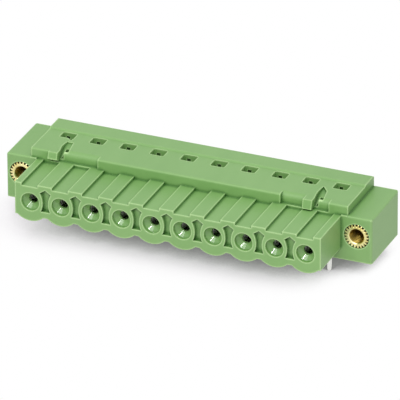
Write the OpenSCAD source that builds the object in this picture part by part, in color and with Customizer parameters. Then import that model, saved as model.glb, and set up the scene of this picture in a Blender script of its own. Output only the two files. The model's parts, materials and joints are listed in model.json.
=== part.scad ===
// Board header of a pluggable terminal block: a row of sockets in one moulding,
// a stamped socket contact with a solder leg behind each, a threaded insert in each flange.
// Origin: centre of the row of solder legs, on the seating plane. +X along the row,
// -Y out of the sockets, +Z up. All sizes in millimetres.

/* [Row] */
// number of poles
poles = 10; // [2:1:24]
// distance between neighbouring poles
pitch = 5.08; // [3.5:0.01:7.62]
// height of the socket axes above the board
axisHeight = 4.32; // [3:0.01:6]
// distance from the leg row back to the flange face
legToFace = 1.7; // [0.5:0.05:4]

/* [Body] */
// length of a flange beyond the row of sockets
flangeLength = 5.08; // [3:0.01:10]
// how far the raised middle runs past the row of sockets
raisedPast = 1.02; // [0:0.01:3]
// flange height
flangeHeight = 7.55; // [5:0.01:10]
// height of the raised middle at its front
raisedHeight = 9.03; // [8:0.01:12]
// height of the raised middle behind the windows
rearHeight = 9.25; // [8:0.01:12]
// depth of the body behind the flange face
bodyDepth = 11.05; // [8:0.05:16]
// set-back of the raised front wall
wallSetBack = 0.33; // [0:0.05:1.5]
// distance from the flange face to the low step behind the windows
rearStepAt = 7.45; // [5:0.05:10]
// length of the slope that leads up to the rear height
rearSlope = 0.3; // [0.05:0.05:1]
// rounding of the outer edges of the flanges
edgeRound = 0.35; // [0.1:0.05:1]
// rounding of the edges of the raised middle
topRound = 0.3; // [0.1:0.05:0.6]

/* [Sockets] */
// how far the sockets stand out of the flange face
socketReach = 8.22; // [5:0.01:12]
// outer radius of each socket barrel
barrelRadius = 3.26; // [2.2:0.01:4]
// underside of the web between the barrels
webUnder = 1.9; // [0.5:0.01:3]
// top of the ribs between the sockets
ribHeight = 7.39; // [6:0.01:9]
// depth of the channel over each socket
channelDepth = 0.45; // [0.1:0.01:1]
// left edge of the channel from the socket axis
channelLeft = 1.42; // [0.5:0.01:2.4]
// right edge of the channel from the socket axis
channelRight = 1.28; // [0.5:0.01:2.4]
// radius of the socket mouth
mouthRadius = 1.5; // [1:0.01:2]
// straight depth of the mouth
mouthDepth = 0.6; // [0.1:0.01:1]
// depth at which the funnel ends
funnelDepth = 1.25; // [0.5:0.01:3]
// radius of the throat the mating pin passes
throatRadius = 0.75; // [0.5:0.01:1.2]
// length of the throat
throatLength = 0.4; // [0.2:0.05:2]

/* [Pockets between sockets] */
// depth of the sink pockets
pocketDepth = 0.7; // [0.2:0.05:3]
// narrowest half width
pocketWaist = 0.47; // [0.2:0.01:1]
// radius of the bowed sides
pocketSide = 3.5; // [2:0.1:8]
// floor below the socket axis
pocketFloor = 1.37; // [0.5:0.01:2]
// shoulder above the socket axis
pocketShoulder = 1.65; // [0.5:0.01:2.2]
// peak above the socket axis
pocketPeak = 2.4; // [1:0.01:2.8]

/* [Windows and keying] */
// size along the row of the window over each contact
windowWide = 2.3; // [1:0.05:3]
// size of the window from front to back
windowLong = 2; // [1:0.05:3]
// how far each window stands to the right of its pole
windowShift = 0.15; // [-0.5:0.05:0.5]
// middle of the windows behind the flange face
windowAt = 6.25; // [3:0.05:9]
// rounding of the window corners
windowRound = 0.3; // [0.05:0.05:0.45]
// depth of the window pit
windowDepth = 1.6; // [0.5:0.05:3]
// width of the slot in the window floor and back wall
windowSlot = 0.6; // [0.2:0.05:1]
// place of the slot from the middle of its window
slotShift = -0.45; // [-0.6:0.05:0.6]
// depth below the top at which the slot starts
slotUnder = 0.7; // [0.3:0.05:1.5]
// middle of the left latching lug from the left end of the row of sockets
lugFromLeft = 2.74; // [1:0.01:8]
// middle of the right latching lug from the right end of the row of sockets
lugFromRight = 5.58; // [3:0.01:8]
// width of a lug
lugWidth = 1.55; // [0.5:0.05:2]
// how far a lug's nose runs forward as it drops
noseLean = 0.45; // [0.1:0.05:1]
// how far a lug's nose drops
noseDrop = 1.45; // [0.5:0.05:1.6]
// width of the relief beside a lug, at its front
reliefWidth = 1.35; // [0.9:0.05:2]
// how far the relief bows into the lug
reliefBow = 0.3; // [0.05:0.05:0.5]
// length of the relief behind the lip that closes its front
reliefLength = 3.9; // [3:0.1:5]
// how far the right relief tapers to its point
reliefTaper = 1.2; // [0.5:0.1:2]
// how much shorter the left relief is, in front of a window
reliefShort = 0.9; // [0.5:0.1:1.5]
// depth of the relief at its front
reliefDepth = 1.35; // [0.2:0.05:1.4]
// thickness of the lip in front of the relief
lip = 0.4; // [0.2:0.05:1]
// width of the open end of the relief, between the lug and the lip
lipGap = 0.7; // [0.2:0.05:0.9]
// length of the core hole in the front of the relief
coreLength = 1.9; // [0.5:0.05:2.5]
// where each end zone of the raised front starts, from the end of the row of sockets
zoneStart = 10.16; // [8:0.01:12]
// where each end zone of the raised front stops, from the end of the row of sockets
zoneStop = 2.2; // [0:0.01:5]
// extra set-back in the end zones
zoneSetBack = 0.52; // [0:0.01:1]
// rounding of the top edge in the end zones
zoneRound = 0.9; // [0.2:0.05:1.5]

/* [Contacts] */
// thickness of the contact sheet
sheet = 0.4; // [0.2:0.05:1]
// depth of the solder leg along Y
legDepth = 0.9; // [0.5:0.05:1.5]
// length of the solder leg below the body
legLength = 3.2; // [2:0.1:6]
// outer half width of the spring cage
cageHalf = 1.2; // [0.8:0.05:2]
// play between the cage and its chamber
cagePlay = 0.1; // [0.02:0.01:0.3]

/* [Inserts] */
// distance of each insert axis from the end of the row of sockets
insertPast = 2.54; // [1.5:0.01:7]
// outer radius over the knurl
insertRadius = 2.05; // [1.5:0.01:3]
// length of the insert
insertLength = 6; // [3:0.1:10]
// number of knurl teeth
knurlTeeth = 22; // [8:1:40]
// depth of the knurl
knurlDepth = 0.3; // [0.05:0.01:0.5]
// radius of the threaded bore, at the thread crests
threadRadius = 1.05; // [0.8:0.01:2]
// radius of the bore's mouth
threadMouth = 1.25; // [0.9:0.01:2]

/* [Hidden] */
$fn = 64;
past = 0.5;
faceY = -legToFace;
frontY = faceY - socketReach;
backY = faceY + bodyDepth;
firstPole = -(poles - 1) / 2 * pitch;
blockHalf = poles * pitch / 2;
halfLength = blockHalf + flangeLength;
raisedHalf = blockHalf + raisedPast;
insertAt = blockHalf + insertPast;
lugLeft = lugFromLeft - blockHalf;
lugRight = blockHalf - lugFromRight;
zoneInner = blockHalf - zoneStart;
zoneOuter = blockHalf - zoneStop;
wallY = faceY + wallSetBack;
zoneY = wallY + zoneSetBack;
throatY = frontY + funnelDepth;
chamberY = throatY + throatLength;
cageFront = chamberY + 0.3;
cageBack = cageFront + 5.6;
fingerRoot = cageFront + 2.2;
chamberBack = legDepth / 2 + 0.25;
cageLow = axisHeight - 1.35;
cageHigh = axisHeight + 1.0;

function poleX(i) = firstPole + i * pitch;

// a box between two corners
module span(low, high) {
  translate(low) cube(high - low);
}

// a profile in Y and Z drawn out along X between two stations
module alongX(from, to) {
  translate([from, 0, 0]) rotate([90, 0, 90]) linear_extrude(height = to - from) children();
}

// a profile in X and Z drawn out along Y between two stations
module alongY(from, to) {
  translate([0, to, 0]) rotate([90, 0, 0]) linear_extrude(height = to - from) children();
}

// what is cut away to round a corner at the origin whose solid lies in the positive quadrant
module cornerCut(r) {
  difference() {
    translate([-past, -past]) square([r + past, r + past]);
    translate([r, r]) circle(r = r);
  }
}

// the raised middle seen from the side, up to the slope behind the windows
module raisedProfile() {
  step = faceY + rearStepAt;
  difference() {
    polygon([[wallY, 0], [wallY, raisedHeight], [step, raisedHeight], [step + rearSlope, rearHeight],
             [backY, rearHeight], [backY, 0]]);
    translate([wallY, raisedHeight]) scale([1, -1]) cornerCut(topRound);
    translate([backY, rearHeight]) scale([-1, -1]) cornerCut(topRound);
  }
}

// flanges and raised middle
module body() {
  difference() {
    union() {
      span([-halfLength, faceY, 0], [halfLength, backY, flangeHeight]);
      alongX(-raisedHalf, raisedHalf) raisedProfile();
    }
    span([-blockHalf, faceY - past, ribHeight], [blockHalf, wallY, raisedHeight + past]);
    for (side = [-1, 1]) scale([side, 1, 1]) {
      alongY(faceY - past, backY + past)
        translate([halfLength, flangeHeight]) scale([-1, -1]) cornerCut(edgeRound);
      translate([halfLength, faceY, -past])
        linear_extrude(height = rearHeight) scale([-1, 1]) cornerCut(edgeRound);
      translate([halfLength, backY, -past])
        linear_extrude(height = rearHeight) scale([-1, -1]) cornerCut(edgeRound);
      alongX(raisedHalf, halfLength + past)
        translate([faceY, flangeHeight]) scale([1, -1]) cornerCut(topRound);
    }
  }
}

// end zones of the raised front wall, set back and softly rounded
module zoneCut(from, to) {
  span([from, wallY - past, ribHeight], [to, zoneY, raisedHeight + past]);
  alongX(from, to)
    translate([zoneY, raisedHeight]) scale([1, -1]) cornerCut(zoneRound);
}

// the outline of the socket row seen from the front
module socketOutline() {
  intersection() {
    union() {
      for (i = [0 : poles - 1])
        translate([poleX(i), axisHeight]) circle(r = barrelRadius);
      translate([-blockHalf, webUnder]) square([2 * blockHalf, ribHeight - webUnder]);
    }
    translate([-blockHalf, 0]) square([2 * blockHalf, ribHeight]);
  }
}

module channelCut(x) {
  span([x - channelLeft, frontY - past, ribHeight - channelDepth],
       [x + channelRight, wallY, ribHeight + past]);
}

// mouth, funnel and throat of one socket
module mouthCut(x) {
  translate([x, frontY, axisHeight]) rotate([-90, 0, 0]) {
    translate([0, 0, -past]) cylinder(r = mouthRadius, h = past + mouthDepth);
    translate([0, 0, mouthDepth])
      cylinder(r1 = mouthRadius, r2 = throatRadius, h = funnelDepth - mouthDepth);
    cylinder(r = throatRadius, h = funnelDepth + throatLength + past);
  }
}

// shallow waisted pocket between two sockets
module pocketCut(x) {
  side = pocketWaist + pocketSide;
  alongY(frontY - past, frontY + pocketDepth) translate([x, axisHeight])
    difference() {
      polygon([[-1.1, -pocketFloor], [1.1, -pocketFloor], [1.1, pocketShoulder],
               [0, pocketPeak], [-1.1, pocketShoulder]]);
      for (s = [-1, 1]) translate([s * side, 0.05]) circle(r = pocketSide);
    }
}

// the room of one contact, open below for its leg
module chamberCut(x) {
  span([x - cageHalf - cagePlay, chamberY, cageLow - cagePlay],
       [x + cageHalf + cagePlay, chamberBack, cageHigh + cagePlay]);
  span([x - sheet / 2 - cagePlay, -legDepth / 2 - cagePlay, -past],
       [x + sheet / 2 + cagePlay, legDepth / 2 + cagePlay, axisHeight]);
}

// a rectangle with rounded corners around the origin
module roundedBox(wide, long, r) {
  square([wide, long - 2 * r], center = true);
  square([wide - 2 * r, long], center = true);
  for (sx = [-1, 1]) for (sy = [-1, 1])
    translate([sx * (wide / 2 - r), sy * (long / 2 - r)]) circle(r = r);
}

// plan of a window; behind a lug its front edge stands back and runs out to a point
module windowPlan(byLug) {
  edge = -0.38 * windowLong;
  difference() {
    roundedBox(windowWide, windowLong, windowRound);
    if (byLug) translate([-windowWide, -windowLong]) square([2 * windowWide, windowLong + edge]);
  }
  if (byLug)
    polygon([[0.14 * windowWide, edge], [0.46 * windowWide, -0.7 * windowLong],
             [windowWide / 2, 0], [0.14 * windowWide, 0]]);
}

// window pit, and the slot that leads on down inside its back wall
module windowCut(x, byLug = false) {
  at = x + windowShift;
  slot = at + slotShift;
  mid = faceY + windowAt;
  translate([at, mid, raisedHeight - windowDepth])
    linear_extrude(height = windowDepth + past) windowPlan(byLug);
  span([slot - windowSlot / 2, mid, axisHeight + 1.2],
       [slot + windowSlot / 2, mid + windowLong / 2 + 0.5, raisedHeight - slotUnder]);
}

// latching lug seen from the side: flush top, steep nose that overhangs the row
module lug(x) {
  noseY = wallY - 0.2;
  under = raisedHeight - noseDrop - 0.07;
  alongX(x - lugWidth / 2, x + lugWidth / 2)
    polygon([[wallY + 4.4, raisedHeight], [noseY, raisedHeight],
             [noseY - noseLean, raisedHeight - noseDrop], [noseY - noseLean / 2, under],
             [wallY + 0.7, under], [wallY + 4.4, raisedHeight - 1.0]]);
}

// bowed relief on the right of a lug: its floor slopes down to a core hole behind a thin lip
module lugRelief(x, length, taper) {
  near = x + lugWidth / 2;
  far = near + reliefWidth;
  shoulder = near + 0.65 * reliefWidth;
  front = zoneY + lip;
  rear = front + length;
  bowed = [for (k = [4 : -1 : 0]) [near - reliefBow * sin(40 * k), front + length * k / 4]];
  intersection() {
    linear_extrude(height = raisedHeight + past)
      polygon(concat([[near, front - past], [far, front - past], [far, front + 0.3],
                      [shoulder, rear - taper]], bowed));
    alongX(near - past, far + past)
      polygon([[rear + past, raisedHeight - 0.1], [front, raisedHeight - reliefDepth],
               [front, raisedHeight + past], [rear + past, raisedHeight + past]]);
  }
  span([near, zoneY - past, raisedHeight - reliefDepth], [near + lipGap, front + 0.1, raisedHeight + past]);
  span([near + 0.25, front, ribHeight + 0.1], [shoulder, front + coreLength, raisedHeight - 0.2]);
}

module insertBore(x) {
  translate([x, faceY, axisHeight]) rotate([-90, 0, 0]) {
    translate([0, 0, -past]) cylinder(r = insertRadius + 0.01, h = insertLength + past);
    cylinder(r = threadRadius + 0.4, h = insertLength + 2.5);
  }
}

module housing() {
  color("#8fb678") difference() {
    union() {
      difference() {
        body();
        zoneCut(-zoneOuter, -zoneInner);
        zoneCut(zoneInner, zoneOuter);
      }
      alongY(frontY, faceY + past) socketOutline();
      lug(lugLeft);
      lug(lugRight);
    }
    lugRelief(lugLeft, reliefLength - reliefShort, 0);
    lugRelief(lugRight, reliefLength, reliefTaper);
    for (i = [0 : poles - 1]) {
      channelCut(poleX(i));
      mouthCut(poleX(i));
      chamberCut(poleX(i));
      windowCut(poleX(i), i == 0);
    }
    for (i = [0 : poles - 2]) pocketCut(poleX(i) + pitch / 2);
    for (s = [-1, 1]) insertBore(s * insertAt);
  }
}

// folded spring cage, its left wall led back to the middle and down as the solder leg
module contact(i) {
  x = poleX(i);
  inner = cageHalf - sheet;
  nip = 0.32;
  color("#d9dbdc") translate([x, 0, 0]) {
    span([-cageHalf, fingerRoot, cageLow], [cageHalf, cageBack, cageLow + sheet]);
    for (s = [-1, 1]) scale([s, 1, 1]) {
      span([inner, fingerRoot, cageLow], [cageHalf, cageBack, cageHigh]);
      translate([0, 0, axisHeight - 0.7]) linear_extrude(height = 1.4)
        polygon([[inner, fingerRoot + 0.2], [nip, cageFront + 0.8], [nip + 0.3, cageFront],
                 [nip + 0.3 + sheet, cageFront], [nip + sheet, cageFront + 0.8],
                 [cageHalf, fingerRoot + 0.2]]);
    }
    translate([0, 0, axisHeight - 0.6]) linear_extrude(height = 1.2)
      polygon([[-cageHalf, cageBack - 0.2], [-inner, cageBack - 0.2], [-inner, -1.3],
               [sheet / 2, -0.5], [sheet / 2, legDepth / 2], [-sheet / 2, legDepth / 2],
               [-sheet / 2, -0.3], [-cageHalf, -1.1]]);
    alongX(-sheet / 2, sheet / 2)
      polygon([[-legDepth / 2, axisHeight + 0.6], [-legDepth / 2, -legLength + 0.5],
               [-legDepth / 4, -legLength], [legDepth / 4, -legLength],
               [legDepth / 2, -legLength + 0.5], [legDepth / 2, axisHeight + 0.6]]);
  }
}

// knurled threaded insert, flush with the flange face
module insert(side) {
  color("#c8a45a") translate([side * insertAt, faceY, axisHeight]) rotate([-90, 0, 0])
    difference() {
      cylinder(r = insertRadius, h = insertLength);
      for (k = [0 : knurlTeeth - 1])
        rotate([0, 0, k * 360 / knurlTeeth])
          translate([insertRadius - knurlDepth, 0, -past]) rotate([0, 0, -45])
            cube([1, 1, insertLength + 2 * past]);
      translate([0, 0, -past]) cylinder(r = threadRadius, h = insertLength + 2 * past);
      translate([0, 0, -0.001])
        cylinder(r1 = threadMouth, r2 = threadRadius, h = threadMouth - threadRadius + 0.001);
    }
}

housing();
contact(0);  // contact_1
contact(1);  // contact_2
contact(2);  // contact_3
contact(3);  // contact_4
contact(4);  // contact_5
contact(5);  // contact_6
contact(6);  // contact_7
contact(7);  // contact_8
contact(8);  // contact_9
contact(9);  // contact_10
insert(-1);  // insert_left
insert(1);  // insert_right
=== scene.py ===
import bmesh
import bpy
import json
import math
from mathutils import Matrix, Vector


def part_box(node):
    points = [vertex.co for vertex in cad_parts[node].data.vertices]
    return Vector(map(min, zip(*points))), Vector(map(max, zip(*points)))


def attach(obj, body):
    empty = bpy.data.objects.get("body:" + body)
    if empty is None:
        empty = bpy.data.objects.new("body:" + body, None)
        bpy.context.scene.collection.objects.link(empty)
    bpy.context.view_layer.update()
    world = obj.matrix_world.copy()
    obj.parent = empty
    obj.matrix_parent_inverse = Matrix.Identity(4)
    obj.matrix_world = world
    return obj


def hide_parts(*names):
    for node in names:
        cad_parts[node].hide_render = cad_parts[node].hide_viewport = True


# Board header of a pluggable terminal block: looks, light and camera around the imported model.

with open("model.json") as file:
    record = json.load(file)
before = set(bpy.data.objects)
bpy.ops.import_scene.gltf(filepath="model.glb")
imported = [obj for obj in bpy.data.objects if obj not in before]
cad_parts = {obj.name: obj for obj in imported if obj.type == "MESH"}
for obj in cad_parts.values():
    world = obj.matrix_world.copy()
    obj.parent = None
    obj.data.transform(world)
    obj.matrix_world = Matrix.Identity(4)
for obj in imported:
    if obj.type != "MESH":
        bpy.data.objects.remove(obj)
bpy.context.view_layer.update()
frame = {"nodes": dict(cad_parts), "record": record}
nodes = frame["nodes"]
mounts = {m["name"]: m for m in frame["record"]["mounts"]}
print("loaded", len(nodes), "nodes")

mm = 0.001
socketCount = sum(name.startswith("socket_") for name in mounts)
firstSocket = Vector(mounts["socket_1"]["pos_m"])
lastSocket = Vector(mounts["socket_%d" % socketCount]["pos_m"])
pitch = (lastSocket.x - firstSocket.x) / (socketCount - 1)
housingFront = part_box("housing")[0][1]
insertLow, insertHigh = (Vector(v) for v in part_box("insert_right"))
insertFace = (insertLow + insertHigh) / 2    # middle of the turned face, flush with the flange
insertFace.y = insertLow.y


def hexColor(text):
    # sRGB hex to the linear values that a shader takes
    parts = [int(text[i:i + 2], 16) / 255 for i in (1, 3, 5)]
    return [p / 12.92 if p <= 0.04045 else ((p + 0.055) / 1.055) ** 2.4 for p in parts] + [1.0]


def addNode(tree, kind, inputs=None, **settings):
    # one node with its settings; an input takes a value, another node or one of its outputs
    # (inputs 6 and 7 of a Mix node are its two colours, and output 2 is their blend)
    node = tree.nodes.new(kind)
    for key, value in settings.items():
        setattr(node, key, value)
    for key, value in (inputs or {}).items():
        if isinstance(value, bpy.types.Node):
            value = value.outputs[0]
        if isinstance(value, bpy.types.NodeSocket):
            tree.links.new(value, node.inputs[key])
        else:
            node.inputs[key].default_value = value
    return node


def newMaterial(name):
    material = bpy.data.materials.new(name)
    material.use_nodes = True
    material.node_tree.nodes.clear()
    return material, material.node_tree


# Moulded polyamide 66 from a spark-eroded mould with polished core pins: an even satin green
# with faint flow marks, smooth shiny funnels, and slightly rounded edges; the edges carry a painted
# highlight, the inner corners a painted shade.
polyamide = {
    "color": "#81ad66",
    "ior": 1.53,
    "roughness": 0.44,
    "roughnessSpread": 0.10,
    "flowColor": "#7aa760",
    "flowSizeMm": 6.0,
    "flowStretch": 0.35,        # flow marks run away from the gates at the back, along Y
    "flowDetail": 4.0,
    "flowRoughness": 0.6,
    "flowRange": (0.35, 0.7),
    "grainSizeMm": 0.22,        # real spark grain is about 0.05 mm, drawn coarser so that it shows
    "grainHeightMm": 0.006,
    "grainStrength": 0.6,
    "grainDetail": 3.0,
    "grainRoughness": 0.55,
    "funnelRoughness": 0.14,
    "funnelRadiusMm": 1.52,     # just past the mouth of a socket
    "funnelDepthMm": 1.4,
    # painted highlight along the open outer edges
    "paintedEdgeHighlightColor": "#bfe3a0",
    "edgeRadiusMm": 0.14,
    "edgeHighlightReachMm": 0.28,
    "edgeHighlightRange": (0.95, 0.45),  # from no edge to the full share, by how thin the wall is here
    "edgeHighlightShare": 0.85,
    "highlightOpenRange": (0.35, 0.7),    # only edges that lie open get the painted highlight
    # painted shade for the inner corners
    "paintedCreviceShadeColor": "#2c661a",
    "creviceShadeReachMm": 0.75,
    "creviceShadeRange": (0.9, 0.4),
    "creviceShadeShare": 0.9,
    "roundingSamples": 6,
    "reachSamples": 8,
}


def makePolyamide(s):
    material, tree = newMaterial("mouldedPolyamide")
    coord = addNode(tree, "ShaderNodeTexCoord").outputs["Object"]

    stretched = addNode(tree, "ShaderNodeMapping", {
        "Vector": coord, "Scale": (1.0, s["flowStretch"], 1.0)})
    flow = addNode(tree, "ShaderNodeTexNoise", {
        "Vector": stretched, "Scale": 1 / (s["flowSizeMm"] * mm),
        "Detail": s["flowDetail"], "Roughness": s["flowRoughness"]})
    flowShare = addNode(tree, "ShaderNodeMapRange", {
        "Value": flow, "From Min": s["flowRange"][0], "From Max": s["flowRange"][1]})
    color = addNode(tree, "ShaderNodeMix", {
        0: flowShare, 6: hexColor(s["color"]), 7: hexColor(s["flowColor"])}, data_type="RGBA")

    # painted shade: inner corners are darkened towards a deeper green by how closed they lie
    openness = addNode(tree, "ShaderNodeAmbientOcclusion", {
        "Distance": s["creviceShadeReachMm"] * mm}, samples=s["reachSamples"], only_local=True)
    creviceShade = addNode(tree, "ShaderNodeMapRange", {
        "Value": openness.outputs["AO"], "From Min": s["creviceShadeRange"][0],
        "From Max": s["creviceShadeRange"][1], "To Max": s["creviceShadeShare"]})
    color = addNode(tree, "ShaderNodeMix", {
        0: creviceShade, 6: color.outputs[2], 7: hexColor(s["paintedCreviceShadeColor"])}, data_type="RGBA")

    # painted highlight: outer edges are made paler, standing in for the light that their rounding
    # catches
    thickness = addNode(tree, "ShaderNodeAmbientOcclusion", {
        "Distance": s["edgeHighlightReachMm"] * mm}, samples=s["reachSamples"], only_local=True, inside=True)
    edgeHighlight = addNode(tree, "ShaderNodeMapRange", {
        "Value": thickness.outputs["AO"], "From Min": s["edgeHighlightRange"][0],
        "From Max": s["edgeHighlightRange"][1], "To Max": s["edgeHighlightShare"]})
    openForHighlight = addNode(tree, "ShaderNodeMapRange", {
        "Value": openness.outputs["AO"], "From Min": s["highlightOpenRange"][0],
        "From Max": s["highlightOpenRange"][1]})
    paintedEdgeHighlight = addNode(tree, "ShaderNodeMath", {0: edgeHighlight, 1: openForHighlight}, operation="MULTIPLY")
    color = addNode(tree, "ShaderNodeMix", {
        0: paintedEdgeHighlight, 6: color.outputs[2], 7: hexColor(s["paintedEdgeHighlightColor"])}, data_type="RGBA")

    # the funnels: every socket folded onto the first one, then the distance from its axis
    split = addNode(tree, "ShaderNodeSeparateXYZ", {0: coord})
    folded = addNode(tree, "ShaderNodeMath", {
        0: split.outputs["X"], 1: firstSocket.x + pitch / 2, 2: firstSocket.x - pitch / 2},
        operation="WRAP")
    across = addNode(tree, "ShaderNodeCombineXYZ", {"X": folded, "Z": split.outputs["Z"]})
    fromAxis = addNode(tree, "ShaderNodeVectorMath", {
        0: across, 1: (firstSocket.x, 0.0, firstSocket.z)}, operation="DISTANCE")
    inMouth = addNode(tree, "ShaderNodeMath", {
        0: fromAxis.outputs["Value"], 1: s["funnelRadiusMm"] * mm}, operation="LESS_THAN")
    nearFront = addNode(tree, "ShaderNodeMath", {
        0: split.outputs["Y"], 1: housingFront + s["funnelDepthMm"] * mm}, operation="LESS_THAN")
    funnel = addNode(tree, "ShaderNodeMath", {0: inMouth, 1: nearFront}, operation="MULTIPLY")

    # spark grain everywhere else
    grain = addNode(tree, "ShaderNodeTexNoise", {
        "Vector": coord, "Scale": 1 / (s["grainSizeMm"] * mm),
        "Detail": s["grainDetail"], "Roughness": s["grainRoughness"]})
    sheen = addNode(tree, "ShaderNodeMath", {
        0: grain, 1: s["roughnessSpread"], 2: s["roughness"] - s["roughnessSpread"] / 2},
        operation="MULTIPLY_ADD")
    roughness = addNode(tree, "ShaderNodeMix", {0: funnel, 2: sheen, 3: s["funnelRoughness"]})
    grained = addNode(tree, "ShaderNodeMath", {0: 1.0, 1: funnel}, operation="SUBTRACT")
    height = addNode(tree, "ShaderNodeMath", {0: grain, 1: grained}, operation="MULTIPLY")
    rounding = addNode(tree, "ShaderNodeBevel", {
        "Radius": s["edgeRadiusMm"] * mm}, samples=s["roundingSamples"])
    bump = addNode(tree, "ShaderNodeBump", {
        "Strength": s["grainStrength"], "Distance": s["grainHeightMm"] * mm,
        "Height": height, "Normal": rounding})

    shader = addNode(tree, "ShaderNodeBsdfPrincipled", {
        "Base Color": color.outputs[2], "Roughness": roughness, "IOR": s["ior"], "Normal": bump})
    addNode(tree, "ShaderNodeOutputMaterial", {"Surface": shader})
    return material


# Tin-plated bronze, stamped: pale grey metal with fine drawing lines down the legs.
tin = {
    "color": "#f0efeb",
    "dullColor": "#dcdcd8",
    "roughnessRange": (0.36, 0.52),
    "lineMm": 0.12,         # real drawing lines are about 0.03 mm, drawn coarser so that they show
    "lineStretch": 0.06,
    "lineDetail": 3.0,
    "lineHeightMm": 0.01,
    "lineStrength": 0.3,
}


def makeTin(s):
    material, tree = newMaterial("tinPlatedBronze")
    coord = addNode(tree, "ShaderNodeTexCoord").outputs["Object"]
    stretched = addNode(tree, "ShaderNodeMapping", {
        "Vector": coord, "Scale": (1.0, 1.0, s["lineStretch"])})
    lines = addNode(tree, "ShaderNodeTexNoise", {
        "Vector": stretched, "Scale": 1 / (s["lineMm"] * mm), "Detail": s["lineDetail"]})
    color = addNode(tree, "ShaderNodeMix", {
        0: lines, 6: hexColor(s["color"]), 7: hexColor(s["dullColor"])}, data_type="RGBA")
    roughness = addNode(tree, "ShaderNodeMapRange", {
        "Value": lines, "To Min": s["roughnessRange"][0], "To Max": s["roughnessRange"][1]})
    bump = addNode(tree, "ShaderNodeBump", {
        "Strength": s["lineStrength"], "Distance": s["lineHeightMm"] * mm, "Height": lines})
    shader = addNode(tree, "ShaderNodeBsdfPrincipled", {
        "Base Color": color.outputs[2], "Metallic": 1.0, "Roughness": roughness, "Normal": bump})
    addNode(tree, "ShaderNodeOutputMaterial", {"Surface": shader})
    return material


# Turned free-cutting brass: bright pale yellow metal with fine turning rings on the flat face,
# with painted shade in the bore and in the flutes between the knurl's teeth.
brass = {
    "color": "#f6edb0",
    "roughness": 0.3,
    "tarnishColor": "#dfcb74",
    "tarnishSizeMm": 1.2,
    "tarnishDetail": 4.0,
    "tarnishRange": (0.4, 0.75),
    "ringMm": 0.11,         # feed of the facing cut
    "ringHeightMm": 0.006,
    "ringStrength": 0.8,
    # painted shade for the flutes and the bore
    "fluteShadeColor": "#4f4414",
    "fluteFromMm": 1.62,    # radius outside which only the flutes lie behind the face
    "boreShadeColor": "#9c8540",
    "boreRadiusMm": 1.25,
    "behindMm": 0.13,       # how far behind the flat face the bore and the flutes begin
}


def makeBrass(s):
    material, tree = newMaterial("turnedBrass")
    coord = addNode(tree, "ShaderNodeTexCoord").outputs["Object"]
    split = addNode(tree, "ShaderNodeSeparateXYZ", {0: coord})

    # both inserts folded onto the right one, then the distance from its axis
    folded = addNode(tree, "ShaderNodeMath", {0: split.outputs["X"]}, operation="ABSOLUTE")
    across = addNode(tree, "ShaderNodeCombineXYZ", {"X": folded, "Z": split.outputs["Z"]})
    fromAxis = addNode(tree, "ShaderNodeVectorMath", {
        0: across, 1: (insertFace.x, 0.0, insertFace.z)}, operation="DISTANCE").outputs["Value"]

    tarnish = addNode(tree, "ShaderNodeTexNoise", {
        "Vector": coord, "Scale": 1 / (s["tarnishSizeMm"] * mm), "Detail": s["tarnishDetail"]})
    tarnishShare = addNode(tree, "ShaderNodeMapRange", {
        "Value": tarnish, "From Min": s["tarnishRange"][0], "From Max": s["tarnishRange"][1]})
    color = addNode(tree, "ShaderNodeMix", {
        0: tarnishShare, 6: hexColor(s["color"]), 7: hexColor(s["tarnishColor"])},
        data_type="RGBA")

    # painted shade on what lies behind the flat face, out of the light: the flutes outside, the
    # thread inside
    behind = addNode(tree, "ShaderNodeMath", {
        0: split.outputs["Y"], 1: insertFace.y + s["behindMm"] * mm}, operation="GREATER_THAN")
    outside = addNode(tree, "ShaderNodeMath", {
        0: fromAxis, 1: s["fluteFromMm"] * mm}, operation="GREATER_THAN")
    flute = addNode(tree, "ShaderNodeMath", {0: behind, 1: outside}, operation="MULTIPLY")
    color = addNode(tree, "ShaderNodeMix", {
        0: flute, 6: color.outputs[2], 7: hexColor(s["fluteShadeColor"])}, data_type="RGBA")
    within = addNode(tree, "ShaderNodeMath", {
        0: fromAxis, 1: s["boreRadiusMm"] * mm}, operation="LESS_THAN")
    bore = addNode(tree, "ShaderNodeMath", {0: behind, 1: within}, operation="MULTIPLY")
    color = addNode(tree, "ShaderNodeMix", {
        0: bore, 6: color.outputs[2], 7: hexColor(s["boreShadeColor"])}, data_type="RGBA")

    turn = addNode(tree, "ShaderNodeMath", {
        0: fromAxis, 1: 2 * math.pi / (s["ringMm"] * mm)}, operation="MULTIPLY")
    rings = addNode(tree, "ShaderNodeMath", {0: turn}, operation="SINE")
    bump = addNode(tree, "ShaderNodeBump", {
        "Strength": s["ringStrength"], "Distance": s["ringHeightMm"] * mm, "Height": rings})
    shader = addNode(tree, "ShaderNodeBsdfPrincipled", {
        "Base Color": color.outputs[2], "Metallic": 1.0, "Roughness": s["roughness"],
        "Normal": bump})
    addNode(tree, "ShaderNodeOutputMaterial", {"Surface": shader})
    return material


def dress(node, material):
    data = nodes[node].data
    if not data.materials:
        data.materials.append(material)
    for slot in range(len(data.materials)):
        data.materials[slot] = material


insertMaterial = makeBrass(brass)
finishes = {"housing": makePolyamide(polyamide), "contact": makeTin(tin),
            "insert": insertMaterial}
for name in nodes:
    dress(name, finishes[name.split("_")[0]])
print("materials assigned")

# The turned inserts, with the flutes of the knurl and the thread cut as real shapes.
insert = {
    "teeth": 22,
    "stepsPerTooth": 8,
    "fluteDepthMm": 0.40,
    "fluteWidth": 0.62,     # share of the tooth spacing that a flute takes at the rim
    "fluteSteepness": 1.6,  # above 1 the flute has a flat bottom
    "rimChamferMm": 0.10,
    "threadPitchMm": 0.45,
    "threadDepthMm": 0.18,
    "crestRadiusMm": 1.05,
    "mouthRadiusMm": 1.32,
    "ringsPerTurn": 8,
}


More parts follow.
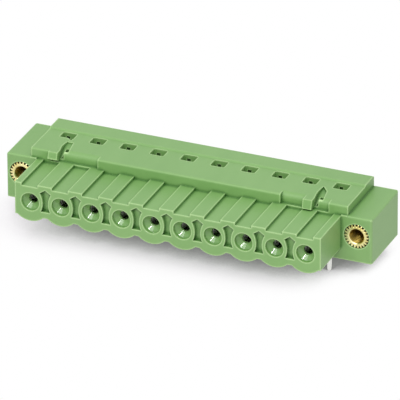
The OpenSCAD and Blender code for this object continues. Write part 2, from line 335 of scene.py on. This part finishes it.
def makeInsert(node, name, s):
    low, high = (Vector(v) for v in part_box(node))
    middle = (low + high) / 2
    rim = (high.x - low.x) / 2
    length = high.y - low.y
    chamfer = s["rimChamferMm"] * mm
    mouth = s["mouthRadiusMm"] * mm
    threadPitch = s["threadPitchMm"] * mm
    columns = s["teeth"] * s["stepsPerTooth"]
    boreRings = int(length / threadPitch * s["ringsPerTurn"])

    def fluteDepth(column):
        place = (column % s["stepsPerTooth"]) / s["stepsPerTooth"]
        fromMiddle = abs(2 * place - 1)
        cut = (s["fluteWidth"] - fromMiddle) / s["fluteWidth"] * s["fluteSteepness"]
        return s["fluteDepthMm"] * mm * min(1.0, max(0.0, cut))

    def threadRadius(along, angle):
        turn = (along / threadPitch - angle / (2 * math.pi)) % 1
        cut = s["crestRadiusMm"] * mm + s["threadDepthMm"] * mm * abs(1 - 2 * turn)
        countersink = mouth - min(along, length - along)    # 45 degrees, at both ends
        return max(cut, countersink)

    def section(column, angle):
        # radius and depth behind the face, once round the wall of the insert
        outer = rim - fluteDepth(column)
        points = [(outer - chamfer, 0), (outer, chamfer), (outer, length - chamfer),
                  (outer - chamfer, length), ((outer + mouth) / 2, length), (mouth, length)]
        for ring in range(boreRings, -1, -1):
            along = length * ring / boreRings
            points.append((threadRadius(along, angle), along))
        points.append(((outer + mouth) / 2 - chamfer, 0))
        return points

    mesh = bmesh.new()
    rows = []
    for column in range(columns):
        angle = 2 * math.pi * column / columns
        rows.append([mesh.verts.new((middle.x + radius * math.cos(angle), low.y + along,
                                     middle.z + radius * math.sin(angle)))
                     for radius, along in section(column, angle)])
    count = len(rows[0])
    for column in range(columns):
        here, beside = rows[column], rows[(column + 1) % columns]
        for k in range(count):
            after = (k + 1) % count
            mesh.faces.new((here[k], here[after], beside[after], beside[k]))
    bmesh.ops.recalc_face_normals(mesh, faces=mesh.faces)
    data = bpy.data.meshes.new(name)
    mesh.to_mesh(data)
    mesh.free()
    data.materials.append(insertMaterial)
    piece = bpy.data.objects.new(name, data)
    bpy.context.collection.objects.link(piece)
    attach(piece, "root")
    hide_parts(node)


makeInsert("insert_left", "knurledInsertLeft", insert)
makeInsert("insert_right", "knurledInsertRight", insert)
print("inserts cut")

# A sweep of white paper, which keeps only the shadow close to the object, deepened there by a
# painted shadow.
paper = {
    "color": "#f6e9f8",
    "fibreColor": "#ffffff",
    "fibreShare": 0.1,
    "fibreMm": 3.3,                 # clumps of fibre, the single ones are too fine to show
    "fibreDetail": 2.0,
    "size": 3.0,
    "shadowColor": "#9d90a3",
    "shadowReach": 0.014,           # metres over which the shadow fades into plain white
    "frontTilt": (0.3, -1.3, 1.0),  # the shadow leans away from these two sides
    "frontRange": (0.40, 0.70),
    "sideTilt": (1.5, 0.4, 1.0),
    "sideRange": (0.05, 0.78),
    "shadowLift": 0.1,              # share of plain white left in the deepest shadow
    "shadowSamples": 16,
}


def makeFloor(s):
    material, tree = newMaterial("whiteSweepPaper")
    coord = addNode(tree, "ShaderNodeTexCoord").outputs["Object"]
    fibre = addNode(tree, "ShaderNodeTexNoise", {
        "Vector": coord, "Scale": 1 / (s["fibreMm"] * mm), "Detail": s["fibreDetail"]})
    fibreShare = addNode(tree, "ShaderNodeMath", {
        0: fibre, 1: s["fibreShare"]}, operation="MULTIPLY")
    tone = addNode(tree, "ShaderNodeMix", {
        0: fibreShare, 6: hexColor(s["color"]), 7: hexColor(s["fibreColor"])}, data_type="RGBA")

    # painted shadow: the paper's colour darkens towards the shadow colour by how open it lies
    # towards two sides, from the deepest shadow to plain white
    shares = []
    for tilt, (shut, free) in ((s["frontTilt"], s["frontRange"]), (s["sideTilt"], s["sideRange"])):
        lean = Vector(tilt).normalized()
        normal = addNode(tree, "ShaderNodeCombineXYZ", {"X": lean.x, "Y": lean.y, "Z": lean.z})
        openness = addNode(tree, "ShaderNodeAmbientOcclusion", {
            "Distance": s["shadowReach"], "Normal": normal}, samples=s["shadowSamples"])
        shares.append(addNode(tree, "ShaderNodeMapRange", {
            "Value": openness.outputs["AO"], "From Min": shut, "From Max": free,
            "To Min": s["shadowLift"]}, interpolation_type="SMOOTHSTEP"))
    clear = addNode(tree, "ShaderNodeMath", {0: shares[0], 1: shares[1]}, operation="MINIMUM")
    shaded = addNode(tree, "ShaderNodeMix", {
        0: clear, 6: hexColor(s["shadowColor"]), 7: tone.outputs[2]}, data_type="RGBA")
    diffuse = addNode(tree, "ShaderNodeBsdfDiffuse", {"Color": shaded.outputs[2]})

    # the camera sees plain white where the paper is clear of the shadow, the metals everywhere
    white = addNode(tree, "ShaderNodeEmission", {"Color": (1, 1, 1, 1), "Strength": 1.0})
    path = addNode(tree, "ShaderNodeLightPath")
    seen = addNode(tree, "ShaderNodeMath", {
        0: path.outputs["Is Camera Ray"], 1: clear}, operation="MULTIPLY")
    bright = addNode(tree, "ShaderNodeMath", {
        0: seen, 1: path.outputs["Is Glossy Ray"]}, operation="MAXIMUM")
    shader = addNode(tree, "ShaderNodeMixShader", {0: bright, 1: diffuse, 2: white})
    addNode(tree, "ShaderNodeOutputMaterial", {"Surface": shader})

    bpy.ops.mesh.primitive_plane_add(size=s["size"])
    floor = bpy.context.object
    floor.name = "floor"
    floor.location.z = min(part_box(name)[0][2] for name in nodes)
    floor.data.materials.append(material)


# White surroundings, which light the object more softly than they look.
surroundings = {"color": "#ffffff", "lightStrength": 0.67, "seenStrength": 1.0}


def makeSurroundings(s):
    world = bpy.data.worlds.new("whiteStudio")
    bpy.context.scene.world = world
    world.use_nodes = True
    tree = world.node_tree
    tree.nodes.clear()
    path = addNode(tree, "ShaderNodeLightPath")
    direct = addNode(tree, "ShaderNodeMath", {
        0: path.outputs["Is Camera Ray"], 1: path.outputs["Is Glossy Ray"]}, operation="MAXIMUM")
    seen = addNode(tree, "ShaderNodeMath", {
        0: direct, 1: path.outputs["Is Transmission Ray"]}, operation="MAXIMUM")
    strength = addNode(tree, "ShaderNodeMix", {
        0: seen, 2: s["lightStrength"], 3: s["seenStrength"]})
    back = addNode(tree, "ShaderNodeBackground", {
        "Color": hexColor(s["color"]), "Strength": strength})
    addNode(tree, "ShaderNodeOutputWorld", {"Surface": back})


# A large softbox above the front, and a small lamp that draws the glint in each funnel.
lamps = {
    "keySoftbox": {"place": (-0.02, -0.31, 0.44), "size": 0.28, "power": 1.12},
    "glintLamp": {"place": (0.21, -0.47, 0.455), "size": 0.022, "power": 0.6},
}


def addLamp(name, s):
    lamp = bpy.data.lights.new(name, "AREA")
    lamp.shape = "SQUARE"
    lamp.size = s["size"]
    lamp.energy = s["power"]
    holder = bpy.data.objects.new(name, lamp)
    bpy.context.collection.objects.link(holder)
    holder.location = s["place"]
    holder.rotation_euler = (-Vector(s["place"])).to_track_quat("-Z", "Y").to_euler()


makeFloor(paper)
makeSurroundings(surroundings)
for name in lamps:
    addLamp(name, lamps[name])
print("studio lit")

view = {
    "azimuth": 23.14,
    "elevation": 27.39,
    "roll": -0.41,
    "distance": 1.2,        # metres
    "lens": 701.2,          # millimetres, as is the sensor
    "sensor": 36.0,
    "aimRight": 0.00187,    # how far right of the flanges' face the middle of the frame lies
    "aimUp": 0.00461,       # and how far above it
    "clipEnd": 10.0,
}


def makeCamera(s):
    azimuth, elevation = math.radians(s["azimuth"]), math.radians(s["elevation"])
    back = Vector((math.sin(azimuth) * math.cos(elevation),
                   -math.cos(azimuth) * math.cos(elevation), math.sin(elevation)))
    level = Vector((math.cos(azimuth), math.sin(azimuth), 0))
    turn = Matrix.Rotation(math.radians(s["roll"]), 3, back)
    right, up = turn @ level, turn @ back.cross(level)
    flangeFace = Vector((0, insertFace.y, 0))
    place = flangeFace + back * s["distance"]
    aim = flangeFace + right * s["aimRight"] + up * s["aimUp"]
    forward = (aim - place).normalized()
    side = forward.cross(up).normalized()
    axes = Matrix((side, side.cross(forward), -forward)).transposed()
    data = bpy.data.cameras.new("camera")
    data.sensor_width = s["sensor"]
    data.lens = s["lens"]
    data.clip_end = s["clipEnd"]
    camera = bpy.data.objects.new("camera", data)
    bpy.context.collection.objects.link(camera)
    camera.matrix_world = Matrix.Translation(place) @ axes.to_4x4()
    bpy.context.scene.camera = camera


makeCamera(view)
bpy.context.scene.view_settings.view_transform = "Standard"
print("camera placed")
